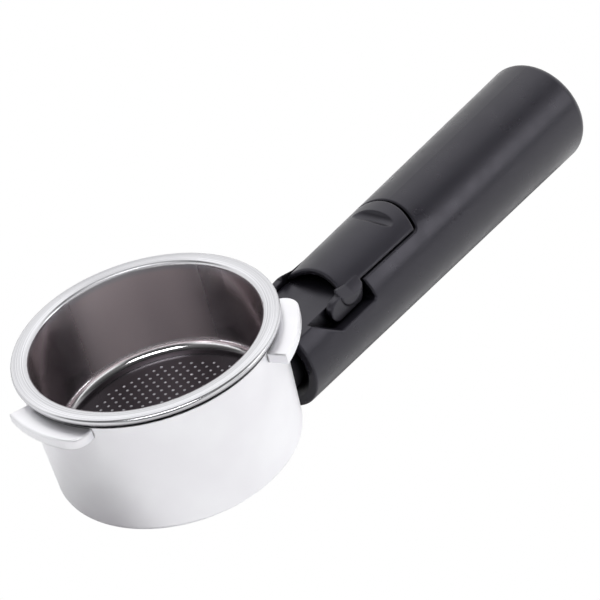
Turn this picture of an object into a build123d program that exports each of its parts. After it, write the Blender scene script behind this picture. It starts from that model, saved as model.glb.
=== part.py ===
from build123d import *
from build123d.topology import SkipClean
import math
import os

# Espresso filter holder: a die-cast cup with three bayonet lugs, a drop-in basket,
# a screwed-on double spout, and a moulded grip with a hinged thumb flap that holds
# the basket by its rim while the spent coffee is knocked out.
# Millimetres. Z is the cup's axis, X runs along the handle, and the origin is on the
# cup's axis at the seat that the basket's rim rests on.

# Filter basket
basket_bore_r = 25.5
basket_wall = 0.5
basket_depth = 23.5
basket_corner_r = 2.8
rim_width = 3.4
rim_thickness = 1.4
rim_lip_r = 0.8
hole_pitch = 1.94
hole_r = 0.31
hole_field_r = 20.2
hole_grid_turn = -22.0

# Holder cup
basket_clearance = 0.3
seat_width = 0.8
seat_rise = 1.0
cup_edge_width = 1.33
cup_foot_wall = 1.42
basket_sump = 4.4
cup_edge_round = 1.2
cup_floor = 2.7
drain_dish_r = 9.0
drain_dish_depth = 0.6
drain_count = 4
drain_r = 1.7
drain_circle_r = 5.8

# Bayonet lugs
lug_reach = 4.57
lug_thickness = 2.6
lug_drop = 0.1
lug_span = 39.0
lug_nose_round = 4.0
lug_edge_round = 0.5
lug_azimuths = (-56.5, 61.0, 178.0)

# Outlet nozzle, spout, seal and screw
nozzle_r = 8.4
nozzle_length = 2.5
nozzle_clearance = 0.1
spout_wall = 1.7
spout_seal_thickness = 0.6
spout_chamber = 1.3
spout_shoulder = 5.0
spout_length = 13.0
outlet_spread = 7.0
outlet_r = 4.0
outlet_bore_r = 2.4
outlet_taper = 3.0
post_r = 3.3
spout_screw_r = 2.0
spout_screw_length = 9.5
spout_screw_head_r = 3.6
spout_screw_head = 2.2
screw_clearance = 0.15
drive_width = 1.0
drive_depth = 1.1

# Handle axis, cast arm and neck collar
handle_axis_under = 1.8
arm_r = 6.0
arm_root_x = 13.0
arm_root_round = 5.0
spigot_end_x = 45.0
spigot_flat = 5.0
spigot_clearance = 0.1
collar_r = 7.6
collar_seat_depth = 2.4
collar_clearance = 0.1

# Grip
grip_front_x = 33.4
grip_length = 115.0
grip_front_r = 12.3
grip_end_r = 14.46
grip_end_round = 2.6
grip_bevel_r = 10.0
grip_bevel_depth = 1.5
grip_edge_round = 0.5

# Grip bolt, washers and end plug
bolt_r = 3.0
bolt_length = 104.0
bolt_head_r = 5.0
bolt_head = 6.0
bolt_socket_width = 5.0
bolt_socket_depth = 3.0
bolt_clearance = 0.3
bolt_well_r = 7.0
bolt_well_depth = 19.0
washer_r = 6.4
washer_thickness = 1.2
spring_washer_r = 5.4
spring_washer_thickness = 1.6
spring_washer_slit = 1.0
plug_length = 8.0
plug_recess = 0.4
plug_clearance = 0.05
plug_edge_round = 0.8

# Thumb flap, its recess and hinge
floor_rise = 8.7
recess_end_x = 83.2
recess_end_arc_r = 17.4
recess_foot_r = 0.8
flap_gap = 0.7
flap_lift = 0.5
flap_wall = 1.4
flap_hollow_end_x = 71.5
flap_edge_round = 0.4
scallop_x = 53.5
scallop_r = 20.0
nail_x = 76.3
nail_r = 2.3
nail_depth = 1.4
pivot_x = 48.6
pivot_rise = 7.1
pin_r = 1.0
pin_running_clearance = 0.05
pin_end_cover = 0.5
ear_r = 2.8
ear_crown_x = 50.8
ear_crown_lift = 0.5
ear_crown_r = 2.5
ear_heel_x = 55.6
ear_heel_drop = 0.8
ear_heel_r = 1.9
ear_tail_x = 57.8
ear_tail_r = 0.5
ear_thickness = 1.9
ear_proud = 2.7
ear_slope_end_x = 54.0
ear_slope_end_proud = 0.25
ear_gap = 0.3
ear_edge_round = 0.3
tongue_x = 53.8
tongue_r = 3.9
tongue_proud = 0.4
pocket_wall_y = 7.5
pocket_rear_x = 59.0
pocket_floor_drop = 3.3
pocket_corner_r = 1.0
pocket_front_low_x = 45.8
pocket_front_high_x = 39.4

# Places worked out from the sizes above
rim_top_z = rim_thickness
basket_floor_z = rim_top_z - basket_depth
basket_outer_r = basket_bore_r + basket_wall
rim_r = basket_outer_r + rim_width
cavity_r = basket_outer_r + basket_clearance
seat_r = cavity_r + seat_width
cup_top_r = seat_r + cup_edge_width
cup_bottom_r = cavity_r + cup_foot_wall
lug_r = cup_top_r + lug_reach
cup_edge_z = -seat_rise
basket_under_z = basket_floor_z - basket_wall
cup_floor_z = basket_under_z - basket_sump
cup_bottom_z = cup_floor_z - cup_floor
dish_z = cup_floor_z - drain_dish_depth
lug_top_z = cup_edge_z - lug_drop
nozzle_end_z = cup_bottom_z - nozzle_length
spout_top_z = cup_bottom_z - spout_seal_thickness
chamber_floor_z = nozzle_end_z - spout_chamber
shoulder_z = chamber_floor_z - spout_shoulder
outlet_z = cup_bottom_z - spout_length
axis_z = cup_bottom_z - handle_axis_under
grip_end_x = grip_front_x + grip_length
grip_slope = (grip_end_r - grip_front_r) / grip_length
floor_z = axis_z + floor_rise
pivot_z = axis_z + pivot_rise
pocket_floor_z = pivot_z - pocket_floor_drop
ear_inner_y = pocket_wall_y + ear_gap
ear_outer_y = ear_inner_y + ear_thickness
well_floor_x = grip_end_x - bolt_well_depth
washer_back_x = well_floor_x + washer_thickness
head_x = washer_back_x + spring_washer_thickness
bolt_tip_x = head_x - bolt_length
recess_arc_x = recess_end_x - recess_end_arc_r
flap_under_z = floor_z + flap_lift
collar_end_x = grip_front_x + collar_seat_depth
socket_r = nozzle_r + nozzle_clearance
spout_r = socket_r + spout_wall
far = 2 * rim_r

handle_axis = Axis((0, 0, axis_z), (1, 0, 0))


def grip_r(x):
    """Radius of the tapered grip at a station along the handle."""
    return grip_front_r + grip_slope * (x - grip_front_x)


def cup_r(z):
    """Outside radius of the tapered cup at a height, carried on below its bottom."""
    return cup_top_r + (cup_top_r - cup_bottom_r) / (cup_edge_z - cup_bottom_z) * (z - cup_edge_z)


def polar(radius, azimuth):
    """Plan position at a radius and an azimuth in degrees."""
    angle = math.radians(azimuth)
    return (radius * math.cos(angle), radius * math.sin(angle))


def handle_section(x):
    """Plane across the handle at a station, its X along Y and its Y along Z."""
    return Plane(origin=(x, 0, axis_z), x_dir=(0, 1, 0), z_dir=(1, 0, 0))


def handle_profile(x_from, x_to, inset=0.0):
    """Half profile of the tapered round handle between two stations, set in from its surface."""
    with BuildSketch(Plane.XZ) as profile:
        with BuildLine():
            Polyline(
                (x_from, axis_z),
                (x_to, axis_z),
                (x_to, axis_z + grip_r(x_to) - inset),
                (x_from, axis_z + grip_r(x_from) - inset),
                close=True,
            )
        make_face()
    return profile.sketch


def ear_cap_profile():
    """Half profile of the cone that rounds the flap's ears off, proud of the grip at its front."""
    with BuildSketch(Plane.XZ) as profile:
        with BuildLine():
            Polyline(
                (pivot_x - 2 * ear_r, axis_z),
                (pocket_rear_x, axis_z),
                (pocket_rear_x, axis_z + grip_r(pocket_rear_x)),
                (ear_slope_end_x, axis_z + grip_r(ear_slope_end_x) + ear_slope_end_proud),
                (pivot_x - 2 * ear_r, axis_z + grip_r(pivot_x) + ear_proud),
                close=True,
            )
        make_face()
    return profile.sketch


def plan_r(shape):
    """Distance of a shape's centre from the cup's axis."""
    return math.hypot(shape.center().X, shape.center().Y)


def is_lug_face(face):
    """True for the flat top or underside of a lug."""
    return lug_top_z - 2 * lug_thickness < face.center().Z < cup_edge_z and plan_r(face) > seat_r


def is_lug_outline(edge):
    """True for a lug's edges that stand clear of the cup's wall."""
    return plan_r(edge) > (cup_top_r + lug_r) / 2 - lug_edge_round


def is_ear_outside(face):
    """True for the outward flat faces of the flap's ears."""
    return abs(face.center().Y) > ear_outer_y - ear_edge_round


def is_recess_foot(edge):
    """True for the edge between the flap's flat bed and the recess's rear wall."""
    return edge.center().X > recess_arc_x and abs(edge.center().Z - floor_z) < flap_lift


def is_flap_front(edge):
    """True for the scalloped front edge of the flap's round top."""
    return edge.center().X < scallop_x + flap_edge_round and edge.center().Z > flap_under_z + flap_wall


# Filter basket: a deep-drawn cup with a folded flat rim and a perforated floor
wall_foot_z = basket_floor_z + basket_corner_r
corner_x = basket_bore_r - basket_corner_r
rim_bead_r = rim_thickness / 2
bead_x = rim_r - rim_bead_r
lip_x = basket_bore_r + rim_lip_r
hole_rows = 2 * math.ceil(hole_field_r / hole_pitch)
with BuildPart() as filter_basket:
    with BuildSketch(Plane.XZ):
        with BuildLine():
            Line((corner_x, basket_floor_z), (corner_x, basket_under_z))
            CenterArc((corner_x, wall_foot_z), basket_corner_r + basket_wall, -90, 90)
            Polyline((basket_outer_r, wall_foot_z), (basket_outer_r, 0), (bead_x, 0))
            CenterArc((bead_x, rim_bead_r), rim_bead_r, -90, 180)
            Line((bead_x, rim_top_z), (lip_x, rim_top_z))
            CenterArc((lip_x, rim_top_z - rim_lip_r), rim_lip_r, 90, 90)
            Line((basket_bore_r, rim_top_z - rim_lip_r), (basket_bore_r, wall_foot_z))
            CenterArc((corner_x, wall_foot_z), basket_corner_r, -90, 90)
        make_face()
    revolve(axis=Axis.Z)
    hole_grid = GridLocations(hole_pitch, hole_pitch, hole_rows, hole_rows)
    hole_places = [place for place in hole_grid if place.position.length < hole_field_r]
    hole_wires = [Wire.make_circle(hole_r, Plane(place)) for place in hole_places]
    floor_plane = Plane.XY.offset(basket_under_z).rotated((0, 0, hole_grid_turn))
    sieve = Face(Wire.make_circle(corner_x), hole_wires).moved(Location(floor_plane))
    with SkipClean():
        extrude(sieve, amount=basket_wall)
filter_basket.part.label = "filter_basket"

# Holder cup: tapered casting with seat, lugs, outlet nozzle and the arm that carries the handle
with BuildPart() as holder_cup:
    with BuildSketch(Plane.XZ):
        with BuildLine():
            Polyline(
                (0, cup_bottom_z),
                (cup_bottom_r, cup_bottom_z),
                (cup_top_r, cup_edge_z),
                (seat_r, cup_edge_z),
                (seat_r, 0),
                (0, 0),
                close=True,
            )
        make_face()
    revolve(axis=Axis.Z)
    fillet(holder_cup.edges().filter_by(GeomType.CIRCLE).group_by(Axis.Z)[0], cup_edge_round)
    with BuildSketch(Plane.XY.offset(lug_top_z - lug_thickness)):
        for azimuth in lug_azimuths:
            lead = azimuth - lug_span / 2
            trail = azimuth + lug_span / 2
            with BuildSketch(mode=Mode.PRIVATE) as lug:
                with BuildLine():
                    CenterArc((0, 0), lug_r, lead, lug_span)
                    Line(polar(lug_r, trail), polar(seat_r, trail))
                    CenterArc((0, 0), seat_r, lead, lug_span)
                    Line(polar(seat_r, lead), polar(lug_r, lead))
                make_face()
                fillet(lug.vertices().sort_by_distance(polar(lug_r, trail))[0], lug_nose_round)
            add(lug.sketch)
    extrude(amount=lug_thickness)
    lug_faces = holder_cup.faces().filter_by(Axis.Z).filter_by(is_lug_face)
    fillet(lug_faces.edges().filter_by(is_lug_outline), lug_edge_round)
    with BuildSketch(Plane.XY.offset(cup_bottom_z)):
        Circle(nozzle_r)
    extrude(amount=-nozzle_length)
    with BuildSketch(Plane.XZ):
        with BuildLine():
            Polyline(
                (arm_root_x, axis_z),
                (spigot_end_x, axis_z),
                (spigot_end_x, axis_z - arm_r),
                (arm_root_x, axis_z - arm_r),
                close=True,
            )
        make_face()
        fillet(vertices().sort_by_distance((arm_root_x, axis_z - arm_r))[0], arm_root_round)
    revolve(axis=handle_axis)
    with BuildSketch(Plane.XY):
        Circle(cavity_r)
    extrude(amount=cup_floor_z, mode=Mode.SUBTRACT)
    with BuildSketch(Plane.XY.offset(cup_floor_z)):
        Circle(drain_dish_r)
    extrude(amount=-drain_dish_depth, mode=Mode.SUBTRACT)
    with BuildSketch(Plane.XY.offset(dish_z)):
        Circle(spout_screw_r + screw_clearance)
        with PolarLocations(drain_circle_r, drain_count, start_angle=180 / drain_count):
            Circle(drain_r)
    extrude(amount=nozzle_end_z - dish_z, mode=Mode.SUBTRACT)
    for side in (-1, 1):
        with BuildSketch(Plane.XZ.offset(side * spigot_flat)):
            with Locations(((collar_end_x + spigot_end_x) / 2, axis_z)):
                Rectangle(spigot_end_x - collar_end_x, 2 * arm_r)
        extrude(amount=side * arm_r, mode=Mode.SUBTRACT)
    with BuildSketch(handle_section(bolt_tip_x)):
        Circle(bolt_r)
    extrude(amount=spigot_end_x - bolt_tip_x, mode=Mode.SUBTRACT)
holder_cup.part.label = "holder_cup"

# Spout seal: flat ring between the cup's bottom and the spout's rim
with BuildPart() as spout_seal:
    with BuildSketch(Plane.XY.offset(spout_top_z)):
        Circle(spout_r)
        Circle(socket_r, mode=Mode.SUBTRACT)
    extrude(amount=spout_seal_thickness)
spout_seal.part.label = "spout_seal"

# Spout: round socket under the nozzle that divides into two downward outlets
outlet_places = GridLocations(0, 2 * outlet_spread, 1, 2)
with BuildPart() as spout_body:
    with BuildSketch(Plane.XY.offset(spout_top_z)):
        Circle(spout_r)
    extrude(amount=chamber_floor_z - spout_top_z)
    with BuildSketch(Plane.XY.offset(chamber_floor_z)):
        Circle(spout_r)
    with BuildSketch(Plane.XY.offset(shoulder_z)):
        SlotCenterToCenter(2 * outlet_spread, 2 * outlet_r, rotation=90)
    loft()
    with BuildSketch(Plane.XY.offset(shoulder_z)):
        with Locations(*outlet_places):
            Circle(outlet_r)
    extrude(amount=outlet_z - shoulder_z, taper=outlet_taper)
    with BuildSketch(Plane.XY.offset(spout_top_z)):
        Circle(socket_r)
    extrude(amount=chamber_floor_z - spout_top_z, mode=Mode.SUBTRACT)
    with BuildSketch(Plane.XY.offset(chamber_floor_z)):
        with Locations(*outlet_places):
            Circle(outlet_bore_r)
    extrude(amount=outlet_z - chamber_floor_z, mode=Mode.SUBTRACT)
    with BuildSketch(Plane.XY.offset(chamber_floor_z)):
        Circle(post_r)
    extrude(amount=nozzle_end_z - chamber_floor_z)
    with BuildSketch(Plane.XY.offset(nozzle_end_z)):
        Circle(spout_screw_r)
    extrude(amount=dish_z - spout_screw_length - nozzle_end_z, mode=Mode.SUBTRACT)
spout_body.part.label = "spout_body"

# Spout screw: slotted pan head inside the cup's dish
with BuildPart() as spout_screw:
    with BuildSketch(Plane.XY.offset(dish_z)):
        Circle(spout_screw_r)
    extrude(amount=-spout_screw_length)
    with BuildSketch(Plane.XY.offset(dish_z)):
        Circle(spout_screw_head_r)
    extrude(amount=spout_screw_head)
    fillet(spout_screw.edges().filter_by(GeomType.CIRCLE).group_by(Axis.Z)[-1], spout_screw_head / 3)
    with BuildSketch(Plane.XY.offset(dish_z + spout_screw_head)):
        Rectangle(2 * spout_screw_head_r, drive_width)
    extrude(amount=-drive_depth, mode=Mode.SUBTRACT)
spout_screw.part.label = "spout_screw"

# Neck collar: insulating sleeve on the arm, saddled against the cup's wall
with BuildPart() as neck_collar:
    with BuildSketch(handle_section(arm_root_x)):
        Circle(collar_r)
        Circle(arm_r + collar_clearance, mode=Mode.SUBTRACT)
    extrude(amount=collar_end_x - arm_root_x)
    with BuildSketch(Plane.XZ):
        with BuildLine():
            Polyline(
                (0, 0),
                (cup_r(0) + collar_clearance, 0),
                (cup_r(-far) + collar_clearance, -far),
                (0, -far),
                close=True,
            )
        make_face()
    revolve(axis=Axis.Z, mode=Mode.SUBTRACT)
neck_collar.part.label = "neck_collar"


# Grip: tapered moulding with the flap's flat bed, two ear pockets and the bolt's well
with BuildPart() as grip:
    revolve(handle_profile(grip_front_x, grip_end_x), handle_axis)
    fillet(grip.faces().sort_by(Axis.X)[-1].edges(), grip_end_round)
    with BuildSketch(Plane.XY.offset(floor_z)):
        with Locations((recess_arc_x, 0)):
            Circle(recess_end_arc_r)
        with Locations(((grip_front_x + recess_arc_x) / 2, 0)):
            Rectangle(recess_arc_x - grip_front_x, 2 * recess_end_arc_r)
    extrude(amount=grip_end_r, mode=Mode.SUBTRACT)
    for side in (-1, 1):
        with BuildSketch(Plane.XZ.offset(side * pocket_wall_y)):
            with BuildLine():
                Polyline(
                    (pocket_rear_x, floor_z),
                    (pocket_rear_x, pocket_floor_z),
                    (pocket_front_low_x, pocket_floor_z),
                    (pocket_front_high_x, floor_z),
                    close=True,
                )
            make_face()
            fillet(vertices().sort_by(Axis.Y)[:2], pocket_corner_r)
        extrude(amount=side * grip_end_r, mode=Mode.SUBTRACT)
    fillet(grip.edges().filter_by(GeomType.CIRCLE).filter_by(is_recess_foot), recess_foot_r)
    grip_cone = grip.faces().filter_by(GeomType.CONE).sort_by(SortBy.AREA)[-1]
    fillet(grip_cone.edges().filter_by(lambda edge: edge.center().X < recess_end_x), grip_edge_round)
    with BuildSketch(Plane.XZ):
        with Locations((pivot_x, pivot_z)):
            Circle(pin_r)
    extrude(amount=pocket_wall_y, both=True, mode=Mode.SUBTRACT)
    with BuildSketch(Plane.XZ):
        with BuildLine():
            Polyline(
                (grip_front_x, axis_z),
                (grip_front_x, axis_z + grip_bevel_r),
                (grip_front_x + grip_bevel_depth, axis_z + collar_r + collar_clearance),
                (collar_end_x, axis_z + collar_r + collar_clearance),
                (collar_end_x, axis_z),
                close=True,
            )
        make_face()
    revolve(axis=handle_axis, mode=Mode.SUBTRACT)
    with BuildSketch(handle_section(collar_end_x)):
        Circle(arm_r + spigot_clearance)
        Rectangle(2 * (spigot_flat + spigot_clearance), 2 * grip_end_r, mode=Mode.INTERSECT)
    extrude(amount=spigot_end_x + spigot_clearance - collar_end_x, mode=Mode.SUBTRACT)
    with BuildSketch(handle_section(collar_end_x)):
        Circle(bolt_r + bolt_clearance)
    extrude(amount=well_floor_x - collar_end_x, mode=Mode.SUBTRACT)
    with BuildSketch(handle_section(well_floor_x)):
        Circle(bolt_well_r)
    extrude(amount=bolt_well_depth, mode=Mode.SUBTRACT)
grip.part.label = "grip"

# Grip bolt: long socket-head screw from the handle's end into the cast arm
with BuildPart() as grip_bolt:
    with BuildSketch(handle_section(bolt_tip_x)):
        Circle(bolt_r)
    extrude(amount=bolt_length)
    with BuildSketch(handle_section(head_x)):
        Circle(bolt_head_r)
    extrude(amount=bolt_head)
    with BuildSketch(handle_section(head_x + bolt_head)):
        RegularPolygon(bolt_socket_width / 2, 6, major_radius=False)
    extrude(amount=-bolt_socket_depth, mode=Mode.SUBTRACT)
grip_bolt.part.label = "grip_bolt"

# Flat washer on the floor of the bolt's well
with BuildPart() as flat_washer:
    with BuildSketch(handle_section(well_floor_x)):
        Circle(washer_r)
        Circle(bolt_r + bolt_clearance, mode=Mode.SUBTRACT)
    extrude(amount=washer_thickness)
flat_washer.part.label = "flat_washer"

# Split spring washer under the bolt's head
with BuildPart() as spring_washer:
    with BuildSketch(handle_section(washer_back_x)):
        Circle(spring_washer_r)
        Circle(bolt_r + bolt_clearance, mode=Mode.SUBTRACT)
        with Locations((0, spring_washer_r / 2)):
            Rectangle(spring_washer_slit, spring_washer_r, mode=Mode.SUBTRACT)
    extrude(amount=spring_washer_thickness)
spring_washer.part.label = "spring_washer"

# End plug: closes the bolt's well
with BuildPart() as end_plug:
    with BuildSketch(handle_section(grip_end_x - plug_recess)):
        Circle(bolt_well_r - plug_clearance)
    extrude(amount=-plug_length)
    fillet(end_plug.faces().sort_by(Axis.X)[-1].edges(), plug_edge_round)
end_plug.part.label = "end_plug"

# Hinge pin: pressed through the grip's rib, its ends carrying the flap's ears
with BuildPart() as hinge_pin:
    with BuildSketch(Plane.XZ):
        with Locations((pivot_x, pivot_z)):
            Circle(pin_r)
    extrude(amount=ear_outer_y - pin_end_cover, both=True)
hinge_pin.part.label = "hinge_pin"

# Hinge lobes of the thumb flap, rounded off above the grip's cone
with BuildPart() as flap_lobes:
    for side in (-1, 1):
        with BuildSketch(Plane.XZ.offset(side * ear_inner_y)):
            with Locations((pivot_x, pivot_z)):
                Circle(ear_r)
            with Locations((ear_crown_x, pivot_z + ear_crown_lift)):
                Circle(ear_crown_r)
            with Locations((ear_heel_x, pivot_z - ear_heel_drop)):
                Circle(ear_heel_r)
            with Locations((ear_tail_x, flap_under_z + ear_tail_r)):
                Circle(ear_tail_r)
            make_hull()
        extrude(amount=side * ear_thickness)
    fillet(flap_lobes.faces().filter_by(Axis.Y).filter_by(is_ear_outside).edges(), ear_edge_round)
    revolve(ear_cap_profile(), handle_axis, mode=Mode.INTERSECT)
    with BuildSketch(Plane.XZ):
        with Locations((pivot_x, pivot_z)):
            Circle(pin_r + pin_running_clearance)
    extrude(amount=ear_outer_y - pin_end_cover + pin_running_clearance, both=True, mode=Mode.SUBTRACT)

# Tongues of the thumb flap: round side skirts that stand a little proud of the lobes
with BuildPart() as flap_tongues:
    for side in (-1, 1):
        with BuildSketch(Plane.XZ.offset(side * ear_inner_y)):
            with Locations((tongue_x, flap_under_z + ear_tail_r)):
                Circle(tongue_r)
        extrude(amount=side * (ear_thickness + tongue_proud))
    fillet(flap_tongues.faces().filter_by(Axis.Y).filter_by(is_ear_outside).edges(), ear_edge_round)
    revolve(ear_cap_profile(), handle_axis, mode=Mode.INTERSECT)

# Thumb flap: shell that completes the grip's round top, with two ears on the hinge pin
with BuildPart() as thumb_flap:
    revolve(handle_profile(pivot_x, recess_end_x), handle_axis)
    with BuildSketch(Plane.XY.offset(flap_under_z)):
        with Locations((recess_arc_x, 0)):
            Circle(recess_end_arc_r - flap_gap)
        with Locations(((pivot_x + recess_arc_x) / 2, 0)):
            Rectangle(recess_arc_x - pivot_x, 2 * recess_end_arc_r)
        with Locations((scallop_x - scallop_r, 0)):
            Circle(scallop_r, mode=Mode.SUBTRACT)
    extrude(amount=grip_end_r, mode=Mode.INTERSECT)
    fillet(thumb_flap.edges().filter_by(is_flap_front), flap_edge_round)
    revolve(handle_profile(pivot_x, flap_hollow_end_x, flap_wall), handle_axis, mode=Mode.SUBTRACT)
    with BuildSketch(Plane.XZ):
        with Locations((nail_x, axis_z + grip_r(nail_x) + nail_r - nail_depth)):
            Circle(nail_r)
    extrude(amount=grip_end_r, both=True, mode=Mode.SUBTRACT)
    add(flap_lobes.part)
    add(flap_tongues.part)
thumb_flap.part.label = "thumb_flap"

pieces = (
    holder_cup,
    filter_basket,
    spout_body,
    spout_seal,
    spout_screw,
    neck_collar,
    grip,
    grip_bolt,
    flat_washer,
    spring_washer,
    end_plug,
    hinge_pin,
    thumb_flap,
)
os.makedirs("parts", exist_ok=True)
for piece in pieces:
    export_step(piece.part, f"parts/{piece.part.label}.step")
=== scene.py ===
import math
import bpy
from mathutils import Matrix, Vector


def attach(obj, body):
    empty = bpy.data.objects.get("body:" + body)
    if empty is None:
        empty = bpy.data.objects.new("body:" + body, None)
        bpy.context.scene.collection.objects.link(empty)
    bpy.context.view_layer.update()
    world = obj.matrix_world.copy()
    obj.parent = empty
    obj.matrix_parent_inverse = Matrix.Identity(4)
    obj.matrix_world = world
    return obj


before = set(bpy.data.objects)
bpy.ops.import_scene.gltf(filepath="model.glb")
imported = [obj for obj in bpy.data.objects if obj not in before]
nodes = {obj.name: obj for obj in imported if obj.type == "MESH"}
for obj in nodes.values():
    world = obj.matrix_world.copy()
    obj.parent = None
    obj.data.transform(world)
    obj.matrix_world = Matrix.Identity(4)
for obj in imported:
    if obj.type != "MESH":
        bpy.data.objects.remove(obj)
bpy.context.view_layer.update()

scene = bpy.context.scene
MM = 0.001

# Sizes of the basket that its finish and its punched edges follow, as in the CAD
bore_r = 25.5 * MM
rim_r = 29.4 * MM
basket_floor_z = -22.1 * MM
corner_top_z = -19.2 * MM
hole_pitch = 1.94 * MM
hole_rows = 22
hole_field_r = 20.2 * MM
hole_turn = math.radians(22)


def srgb(code):
    """Linear RGBA of an sRGB hex colour."""
    def linear(value):
        return value / 12.92 if value <= 0.04045 else ((value + 0.055) / 1.055) ** 2.4
    parts = [int(code[i:i + 2], 16) / 255 for i in (1, 3, 5)]
    return (*[linear(part) for part in parts], 1.0)


def add_node(tree, kind, inputs=None, **settings):
    """One shader node with its settings, its inputs set or linked."""
    node = tree.nodes.new(kind)
    for name, value in settings.items():
        setattr(node, name, value)
    for name, value in (inputs or {}).items():
        if isinstance(value, bpy.types.NodeSocket):
            tree.links.new(value, node.inputs[name])
        else:
            node.inputs[name].default_value = value
    return node


def calc(tree, operation, *values, **settings):
    """One step of arithmetic on numbers and sockets."""
    return add_node(tree, "ShaderNodeMath", dict(enumerate(values)), operation=operation, **settings).outputs[0]


def measure(tree, operation, *vectors):
    """One number found from vectors, such as a length or a dot product."""
    inputs = dict(enumerate(vectors))
    return add_node(tree, "ShaderNodeVectorMath", inputs, operation=operation).outputs["Value"]


def object_place(tree):
    """The place on the object, in its own metres."""
    return add_node(tree, "ShaderNodeTexCoord").outputs["Object"]


def open_share(tree, reach_mm, samples):
    """How open a spot is to its surroundings: 1 in the open, less in a gap."""
    inputs = {"Distance": reach_mm * MM}
    return add_node(tree, "ShaderNodeAmbientOcclusion", inputs, samples=samples).outputs["AO"]


def new_material(name):
    """An empty node material and its output node."""
    material = bpy.data.materials.new(name)
    material.use_nodes = True
    tree = material.node_tree
    tree.nodes.clear()
    return material, tree, tree.nodes.new("ShaderNodeOutputMaterial")


def shader_of(tree, out, inputs):
    """The principled shader of a material, joined to its output."""
    shader = add_node(tree, "ShaderNodeBsdfPrincipled", inputs)
    tree.links.new(shader.outputs[0], out.inputs[0])


def noise(tree, place, size_mm):
    """Noise whose lumps are about one size across."""
    inputs = {"Vector": place, "Scale": 1 / (size_mm * MM), "Detail": 2.0}
    return add_node(tree, "ShaderNodeTexNoise", inputs).outputs[0]


def spread(tree, value, low, high, start=0.3, stop=0.7):
    """A value carried from one range to another, eased at both ends."""
    inputs = {"Value": value, "From Min": start, "From Max": stop, "To Min": low, "To Max": high}
    return add_node(tree, "ShaderNodeMapRange", inputs, interpolation_type="SMOOTHSTEP").outputs[0]


def blend(tree, share, first, second):
    """Two colours mixed by a share."""
    share_in, first_in, second_in = 0, 6, 7
    inputs = {share_in: share, first_in: first, second_in: second}
    return add_node(tree, "ShaderNodeMix", inputs, data_type="RGBA").outputs[2]


def mix_shaders(tree, share, first, second):
    """Two shaders mixed by a share."""
    return add_node(tree, "ShaderNodeMixShader", {0: share, 1: first.outputs[0], 2: second.outputs[0]})


def relief(tree, height, depth_mm, strength, edge_mm=0.0):
    """A bumped normal, over edges rounded by a small radius where one is given."""
    inputs = {"Height": height, "Distance": depth_mm * MM, "Strength": strength}
    if edge_mm:
        inputs["Normal"] = add_node(tree, "ShaderNodeBevel", {"Radius": edge_mm * MM}, samples=6).outputs[0]
    return add_node(tree, "ShaderNodeBump", inputs).outputs[0]


def moulding(name, colour, painted_shade_tone, rough, grain_mm, edge_mm=0.3):
    """Moulded plastic: a fine even grain, a cool shine, softened edges, and painted shade that makes it blacker
    and duller in its recesses.
    """
    material, tree, out = new_material(name)
    place = object_place(tree)
    # Painted shade: recesses are painted blacker and given less shine
    open_sky = open_share(tree, reach_mm=5.0, samples=8)
    in_light = spread(tree, open_sky, low=0.0, high=1.0, start=0.25, stop=0.9)
    shader_of(tree, out, {
        "Base Color": blend(tree, in_light, srgb(painted_shade_tone), srgb(colour)),
        "Roughness": spread(tree, noise(tree, place, 6.0), rough - 0.03, rough + 0.04),
        "Specular Tint": srgb("#F3F0FF"),
        "Specular IOR Level": spread(tree, open_sky, low=0.05, high=0.56, start=0.3, stop=0.8),
        "Normal": relief(tree, noise(tree, place, grain_mm), depth_mm=0.012, strength=0.35, edge_mm=edge_mm),
    })
    return material


def plated(name, colour, rough, grain_mm):
    """Bright metal with faint cloudy patches in its shine."""
    material, tree, out = new_material(name)
    place = object_place(tree)
    shader_of(tree, out, {
        "Base Color": srgb(colour),
        "Metallic": 1.0,
        "Roughness": spread(tree, noise(tree, place, 2.5), rough - 0.05, rough + 0.08),
        "Normal": relief(tree, noise(tree, place, grain_mm), depth_mm=0.004, strength=0.2, edge_mm=0.15),
    })
    return material


def heading(degrees):
    """The level direction at an angle round the basket."""
    return (math.cos(math.radians(degrees)), math.sin(math.radians(degrees)), 0.0)


# Satin cast aluminium: almost white, with wide soft reflections, a fine blasted grain, and painted shade: a dark
# line painted down in the narrow gap below the basket's rim, where that gap lies in shadow
cast_aluminium, tree, out = new_material("satin_cast_aluminium")
place = object_place(tree)
# Painted shade: narrow gaps are painted near black
outside_painted_shade = spread(tree, open_share(tree, reach_mm=1.3, samples=12), low=0.0, high=1.0, start=0.52, stop=0.68)
clouds = spread(tree, noise(tree, place, 14.0), 0.0, 1.0)
bare = blend(tree, clouds, srgb("#F1F0F4"), srgb("#F6F6F9"))
shader_of(tree, out, {
    "Base Color": blend(tree, outside_painted_shade, srgb("#0C0A0A"), bare),
    "Metallic": 0.8,
    "Roughness": spread(tree, noise(tree, place, 5.0), 0.34, 0.38),
    "Normal": relief(tree, noise(tree, place, 0.35), depth_mm=0.012, strength=0.25, edge_mm=0.3),
})

# Pressed stainless steel: a bright turned rim that shines as a rolled bead, its outer fold painted darker as
# painted shade, a drawn wall with faint upright streaks under a mauve-brown coffee film, painted light in a
# paler patch and stripe on the far wall, a corner painted near white for a painted highlight, and a floor
# painted dark for painted shade
pressed_steel, tree, out = new_material("pressed_stainless_steel")
axes = add_node(tree, "ShaderNodeSeparateXYZ", {0: object_place(tree)}).outputs
level = axes["Z"]
flat = add_node(tree, "ShaderNodeCombineXYZ", {"X": axes["X"], "Y": axes["Y"]}).outputs[0]
radius = measure(tree, "LENGTH", flat)
around = add_node(tree, "ShaderNodeVectorMath", {0: flat}, operation="NORMALIZE").outputs["Vector"]
ring_inputs = {"W": radius, "Scale": 1 / (0.22 * MM), "Detail": 3.0}
rings = add_node(tree, "ShaderNodeTexNoise", ring_inputs, noise_dimensions="1D").outputs[0]
streaks = add_node(tree, "ShaderNodeTexNoise", {"Vector": around, "Scale": 3.5, "Detail": 1.0}).outputs[0]

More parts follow.
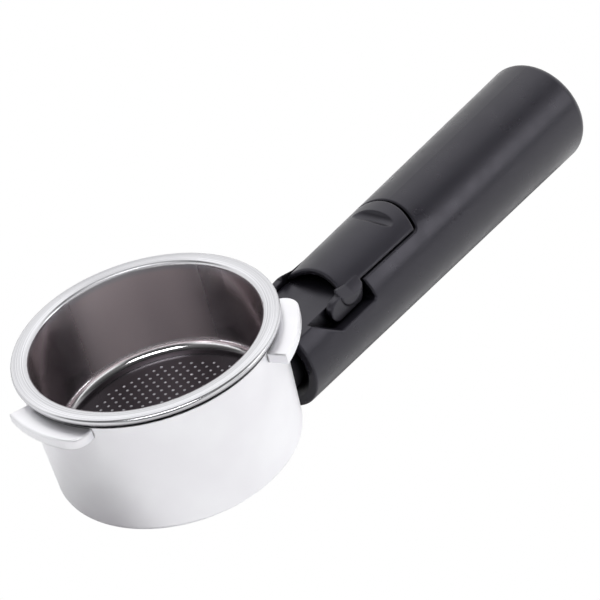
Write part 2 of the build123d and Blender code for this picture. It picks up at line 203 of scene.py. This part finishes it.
# Where the rim, the corner, the floor and the inner wall lie
on_rim = spread(tree, level, low=0.0, high=1.0, start=-1.0 * MM, stop=0.6 * MM)
on_corner = spread(tree, level, low=1.0, high=0.0, start=corner_top_z - 1.0 * MM, stop=corner_top_z)
on_floor = spread(tree, level, 1.0, 0.0, start=basket_floor_z + 0.2 * MM, stop=basket_floor_z + 0.9 * MM)
within = spread(tree, radius, low=1.0, high=0.0, start=bore_r + 0.1 * MM, stop=bore_r + 0.4 * MM)
above_corner = calc(tree, "SUBTRACT", 1.0, on_corner)

# Painted light on the wall: a patch over the far side painted paler, rougher and less metallic, and a stripe in
# it painted less metallic, so the lamps light both paler
satin = spread(tree, measure(tree, "DOT_PRODUCT", around, heading(50)), 0.0, 1.0, start=0.76, stop=0.97)
painted_light_stripe = spread(tree, measure(tree, "DOT_PRODUCT", around, heading(66)), 0.0, 0.7, start=0.92, stop=0.995)
patch_and_stripe_within = calc(tree, "MULTIPLY", calc(tree, "ADD", satin, painted_light_stripe), within)
patch_and_stripe_share = calc(tree, "MULTIPLY", patch_and_stripe_within, above_corner)

drawn = blend(tree, spread(tree, streaks, 0.0, 1.0, 0.2, 0.8), srgb("#D6CBCE"), srgb("#E4DCDE"))
wall_tone = blend(tree, satin, drawn, srgb("#F2E5E8"))
# Painted highlight: the corner is painted near-white steel, so its ring of highlight reads bright and white
inner_tone = blend(tree, on_corner, wall_tone, srgb("#F4F3F5"))
side_tone = blend(tree, within, srgb("#D6D6D8"), inner_tone)
# Painted shade: the floor is painted dark grey, for the shade and dark reflections deep in the basket
body_tone = blend(tree, on_floor, side_tone, srgb("#4A484C"))

turned_tone = blend(tree, spread(tree, rings, 0.0, 1.0), srgb("#D0D0D4"), srgb("#E8E8EB"))
# Painted shade: the rim's outer fold is painted darker toward its foot
on_fold = spread(tree, radius, low=0.0, high=1.0, start=rim_r - 0.5 * MM, stop=rim_r - 0.1 * MM)
fold_foot_shade = spread(tree, level, low=1.0, high=0.0, start=0.2 * MM, stop=1.1 * MM)
rim_tone = blend(tree, calc(tree, "MULTIPLY", on_fold, fold_foot_shade), turned_tone, srgb("#6E6C70"))

drawn_rough = spread(tree, streaks, 0.2, 0.26, 0.2, 0.8)
wall_rough = calc(tree, "MULTIPLY_ADD", satin, 0.2, drawn_rough)
wall_share = calc(tree, "MULTIPLY", wall_rough, above_corner)

from_rim_middle = calc(tree, "ABSOLUTE", calc(tree, "SUBTRACT", radius, (bore_r + rim_r) / 2))
bead = spread(tree, from_rim_middle, low=1.0, high=0.0, start=0.0, stop=(rim_r - bore_r) / 2)
turned = calc(tree, "MULTIPLY_ADD", rings, 0.006, bead)
shader_of(tree, out, {
    "Base Color": blend(tree, on_rim, body_tone, rim_tone),
    # Less metal shine in the patch and stripe is painted light: the lamps light them paler
    "Metallic": calc(tree, "MULTIPLY_ADD", patch_and_stripe_share, -0.2, 1.0),
    "Roughness": calc(tree, "MULTIPLY_ADD", on_corner, 0.13, wall_share),
    "Normal": relief(tree, calc(tree, "MULTIPLY", turned, on_rim), depth_mm=0.3, strength=1.0),
})

# Torn steel round each punched hole: rough and bright, so the holes read as pale dots
punched_steel = plated("punched_steel_edge", "#BEBEC2", rough=0.5, grain_mm=0.1)
# Black grip moulding: satin, with broad grey bands of light along its length
grip_plastic = moulding("satin_black_grip_plastic", "#151419", "#040405", rough=0.3, grain_mm=0.3)
# Flap moulding: the same black a shade lighter, with rounder edges that catch the light
flap_plastic = moulding("satin_black_flap_plastic", "#17161B", "#040405", rough=0.32, grain_mm=0.25, edge_mm=0.7)
# Spout and collar moulding: duller than the grip
spout_plastic = moulding("matt_black_spout_plastic", "#151517", "#040405", rough=0.5, grain_mm=0.4)
# Seal rubber: dead black, with no clear reflection
seal_rubber = moulding("black_seal_rubber", "#0E0E0F", "#030303", rough=0.75, grain_mm=0.5)
# Zinc-plated steel: pale bright metal of the screw, bolt, washers and pin
zinc_steel = plated("zinc_plated_steel", "#C9CCD0", rough=0.25, grain_mm=0.2)

finishes = {
    "holder_cup": cast_aluminium,
    "filter_basket": pressed_steel,
    "grip": grip_plastic,
    "end_plug": grip_plastic,
    "thumb_flap": flap_plastic,
    "neck_collar": spout_plastic,
    "spout_body": spout_plastic,
    "spout_seal": seal_rubber,
}
for name, node in nodes.items():
    node.data.materials.clear()
    node.data.materials.append(finishes.get(name, zinc_steel))

# Punched edges: one small funnel in each hole of the basket's floor, its lip just proud of the sheet.
# Each step of its profile is a radius and a rise, in mm
lip_r = 0.36
lip_profile = ((0.33, 0.03), (0.28, -0.03), (0.12, -0.25))
bpy.ops.object.select_all(action="DESELECT")
bpy.ops.mesh.primitive_circle_add(vertices=8, radius=lip_r * MM, location=(0, 0, 0))
edges = bpy.context.object
edges.name = "punched_edges"
bpy.ops.object.mode_set(mode="EDIT")
bpy.ops.mesh.select_all(action="SELECT")
last_r = lip_r
for next_r, rise in lip_profile:
    size = next_r / last_r
    bpy.ops.mesh.extrude_region_move(TRANSFORM_OT_translate={"value": (0, 0, rise * MM)})
    bpy.ops.transform.resize(value=(size, size, 1), center_override=(0, 0, 0))
    last_r = next_r
bpy.ops.object.mode_set(mode="OBJECT")
ring_verts = len(edges.data.vertices)
for axis in range(2):
    rows = edges.modifiers.new("rows", "ARRAY")
    rows.count = hole_rows
    rows.use_relative_offset = False
    rows.use_constant_offset = True
    rows.constant_offset_displace = [hole_pitch if axis == i else 0 for i in range(3)]
    bpy.ops.object.modifier_apply(modifier=rows.name)
half = (hole_rows - 1) / 2 * hole_pitch
bpy.ops.object.mode_set(mode="EDIT")
bpy.ops.mesh.select_all(action="SELECT")
bpy.ops.transform.translate(value=(-half, -half, basket_floor_z))
bpy.ops.transform.rotate(value=hole_turn, orient_axis="Z", center_override=(0, 0, 0))
bpy.ops.mesh.select_all(action="DESELECT")
bpy.ops.object.mode_set(mode="OBJECT")
for first in range(0, len(edges.data.vertices), ring_verts):
    ring = edges.data.vertices[first:first + ring_verts]
    centre = sum((vertex.co.xy for vertex in ring), Vector((0, 0))) / ring_verts
    for vertex in ring:
        vertex.select = centre.length > hole_field_r
bpy.ops.object.mode_set(mode="EDIT")
bpy.ops.mesh.delete(type="VERT")
bpy.ops.mesh.select_all(action="SELECT")
bpy.ops.mesh.normals_make_consistent(inside=False)
bpy.ops.object.mode_set(mode="OBJECT")
bpy.ops.object.shade_smooth()
edges.data.materials.append(punched_steel)
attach(edges, "basket")

# Floor: white to the camera, lit paper to everything else, shaded beside the cup so that the cast wall
# darkens toward its foot, and clear from below
floor_z = -46.1 * MM
shade_place = (-38 * MM, 10 * MM, 0)
bpy.ops.object.select_all(action="DESELECT")
bpy.ops.mesh.primitive_plane_add(size=6, location=(0, 0, floor_z))
floor = bpy.context.object
floor.name = "floor"
material, tree, out = new_material("white_paper_floor")
path = add_node(tree, "ShaderNodeLightPath").outputs
from_shade = measure(tree, "DISTANCE", object_place(tree), shade_place)
in_light = spread(tree, from_shade, low=0.0, high=1.0, start=6 * MM, stop=30 * MM)
paper_tone = blend(tree, in_light, srgb("#7E777E"), srgb("#E8E8E8"))
paper = add_node(tree, "ShaderNodeBsdfDiffuse", {"Color": paper_tone})
glow = add_node(tree, "ShaderNodeEmission", {"Color": (1, 1, 1, 1), "Strength": 1.0})
glow_share = calc(tree, "MULTIPLY_ADD", path["Is Glossy Ray"], 0.2, path["Is Camera Ray"], use_clamp=True)
sheet = mix_shaders(tree, glow_share, paper, glow)
below = add_node(tree, "ShaderNodeNewGeometry").outputs["Backfacing"]
clear = add_node(tree, "ShaderNodeBsdfTransparent")
tree.links.new(mix_shaders(tree, below, sheet, clear).outputs[0], out.inputs[0])
floor.data.materials.append(material)

# Studio round the object: white low down, brighter overhead behind, dark overhead in front and where the
# photographer stands, with a grey flag low on the handle's side
photographer_side = (-0.573, -0.597, 0.5615)
far_side = (0.69, 0.72, 0.0)
flag_side = (0.58, -0.81, 0.0)
world = bpy.data.worlds.new("studio")
scene.world = world
world.use_nodes = True
tree = world.node_tree
tree.nodes.clear()
path = add_node(tree, "ShaderNodeLightPath").outputs
direction = add_node(tree, "ShaderNodeTexCoord").outputs["Generated"]
height = add_node(tree, "ShaderNodeSeparateXYZ", {0: direction}).outputs["Z"]
high = spread(tree, height, low=0.0, high=0.87, start=0.52, stop=0.68)
front = spread(tree, measure(tree, "DOT_PRODUCT", direction, far_side), low=-1.0, high=0.3, start=0.1, stop=0.5)
overhead = calc(tree, "MULTIPLY_ADD", high, front, 1.0)
facing = measure(tree, "DOT_PRODUCT", direction, photographer_side)
photographer = spread(tree, facing, low=1.0, high=0.1, start=0.75, stop=0.93)
flag = spread(tree, measure(tree, "DOT_PRODUCT", direction, flag_side), low=1.0, high=0.4, start=0.86, stop=0.97)
shine_share = calc(tree, "MULTIPLY_ADD", path["Is Glossy Ray"], 0.6, 0.4)
studio_level = calc(tree, "MULTIPLY", calc(tree, "MULTIPLY", overhead, photographer), flag)
room_level = calc(tree, "MULTIPLY", studio_level, shine_share)
room = add_node(tree, "ShaderNodeBackground", {"Color": (1, 1, 1, 1), "Strength": room_level})
seen = add_node(tree, "ShaderNodeBackground", {"Color": (1, 1, 1, 1), "Strength": 1.0})
sky = add_node(tree, "ShaderNodeOutputWorld")
tree.links.new(mix_shaders(tree, path["Is Camera Ray"], room, seen).outputs[0], sky.inputs[0])


def soft_light(name, place, target, size, power):
    """A rectangular area light that looks at a point."""
    data = bpy.data.lights.new(name, "AREA")
    data.shape = "RECTANGLE"
    data.size, data.size_y = size
    data.energy = power
    lamp = bpy.data.objects.new(name, data)
    scene.collection.objects.link(lamp)
    lamp.location = place
    lamp.rotation_euler = (Vector(target) - Vector(place)).to_track_quat("-Z", "Y").to_euler()
    return lamp


soft_light("key", place=(-0.39, -0.40, 0.83), target=(0, 0, 0), size=(0.7, 0.14), power=3.5)
soft_light("side", place=(0.60, -0.66, 0.25), target=(0.08, 0, -0.03), size=(0.32, 0.32), power=0.65)
floor_fill = soft_light("floor_fill", place=(0.62, -0.25, 0.72), target=(0, 0, 0), size=(0.3, 0.3), power=9.6)
floor_fill.visible_glossy = False

# Camera
azimuth, elevation, roll = (math.radians(angle) for angle in (-43.83, 34.161, -14.793))
camera_place = (-218.673 * MM, -276.208 * MM, 237.268 * MM)
right = Vector((math.cos(azimuth), math.sin(azimuth), 0))
back = Vector((
    math.sin(azimuth) * math.cos(elevation),
    -math.cos(azimuth) * math.cos(elevation),
    math.sin(elevation),
))
up = back.cross(right)
turned_right = math.cos(roll) * right + math.sin(roll) * up
turned_up = math.cos(roll) * up - math.sin(roll) * right
camera = bpy.data.objects.new("camera", bpy.data.cameras.new("camera"))
scene.collection.objects.link(camera)
camera.data.sensor_width = 36
camera.data.lens = 120.27
turn = Matrix((turned_right, turned_up, back)).transposed().to_4x4()
camera.matrix_world = Matrix.Translation(camera_place) @ turn
scene.camera = camera
scene.view_settings.view_transform = "Standard"
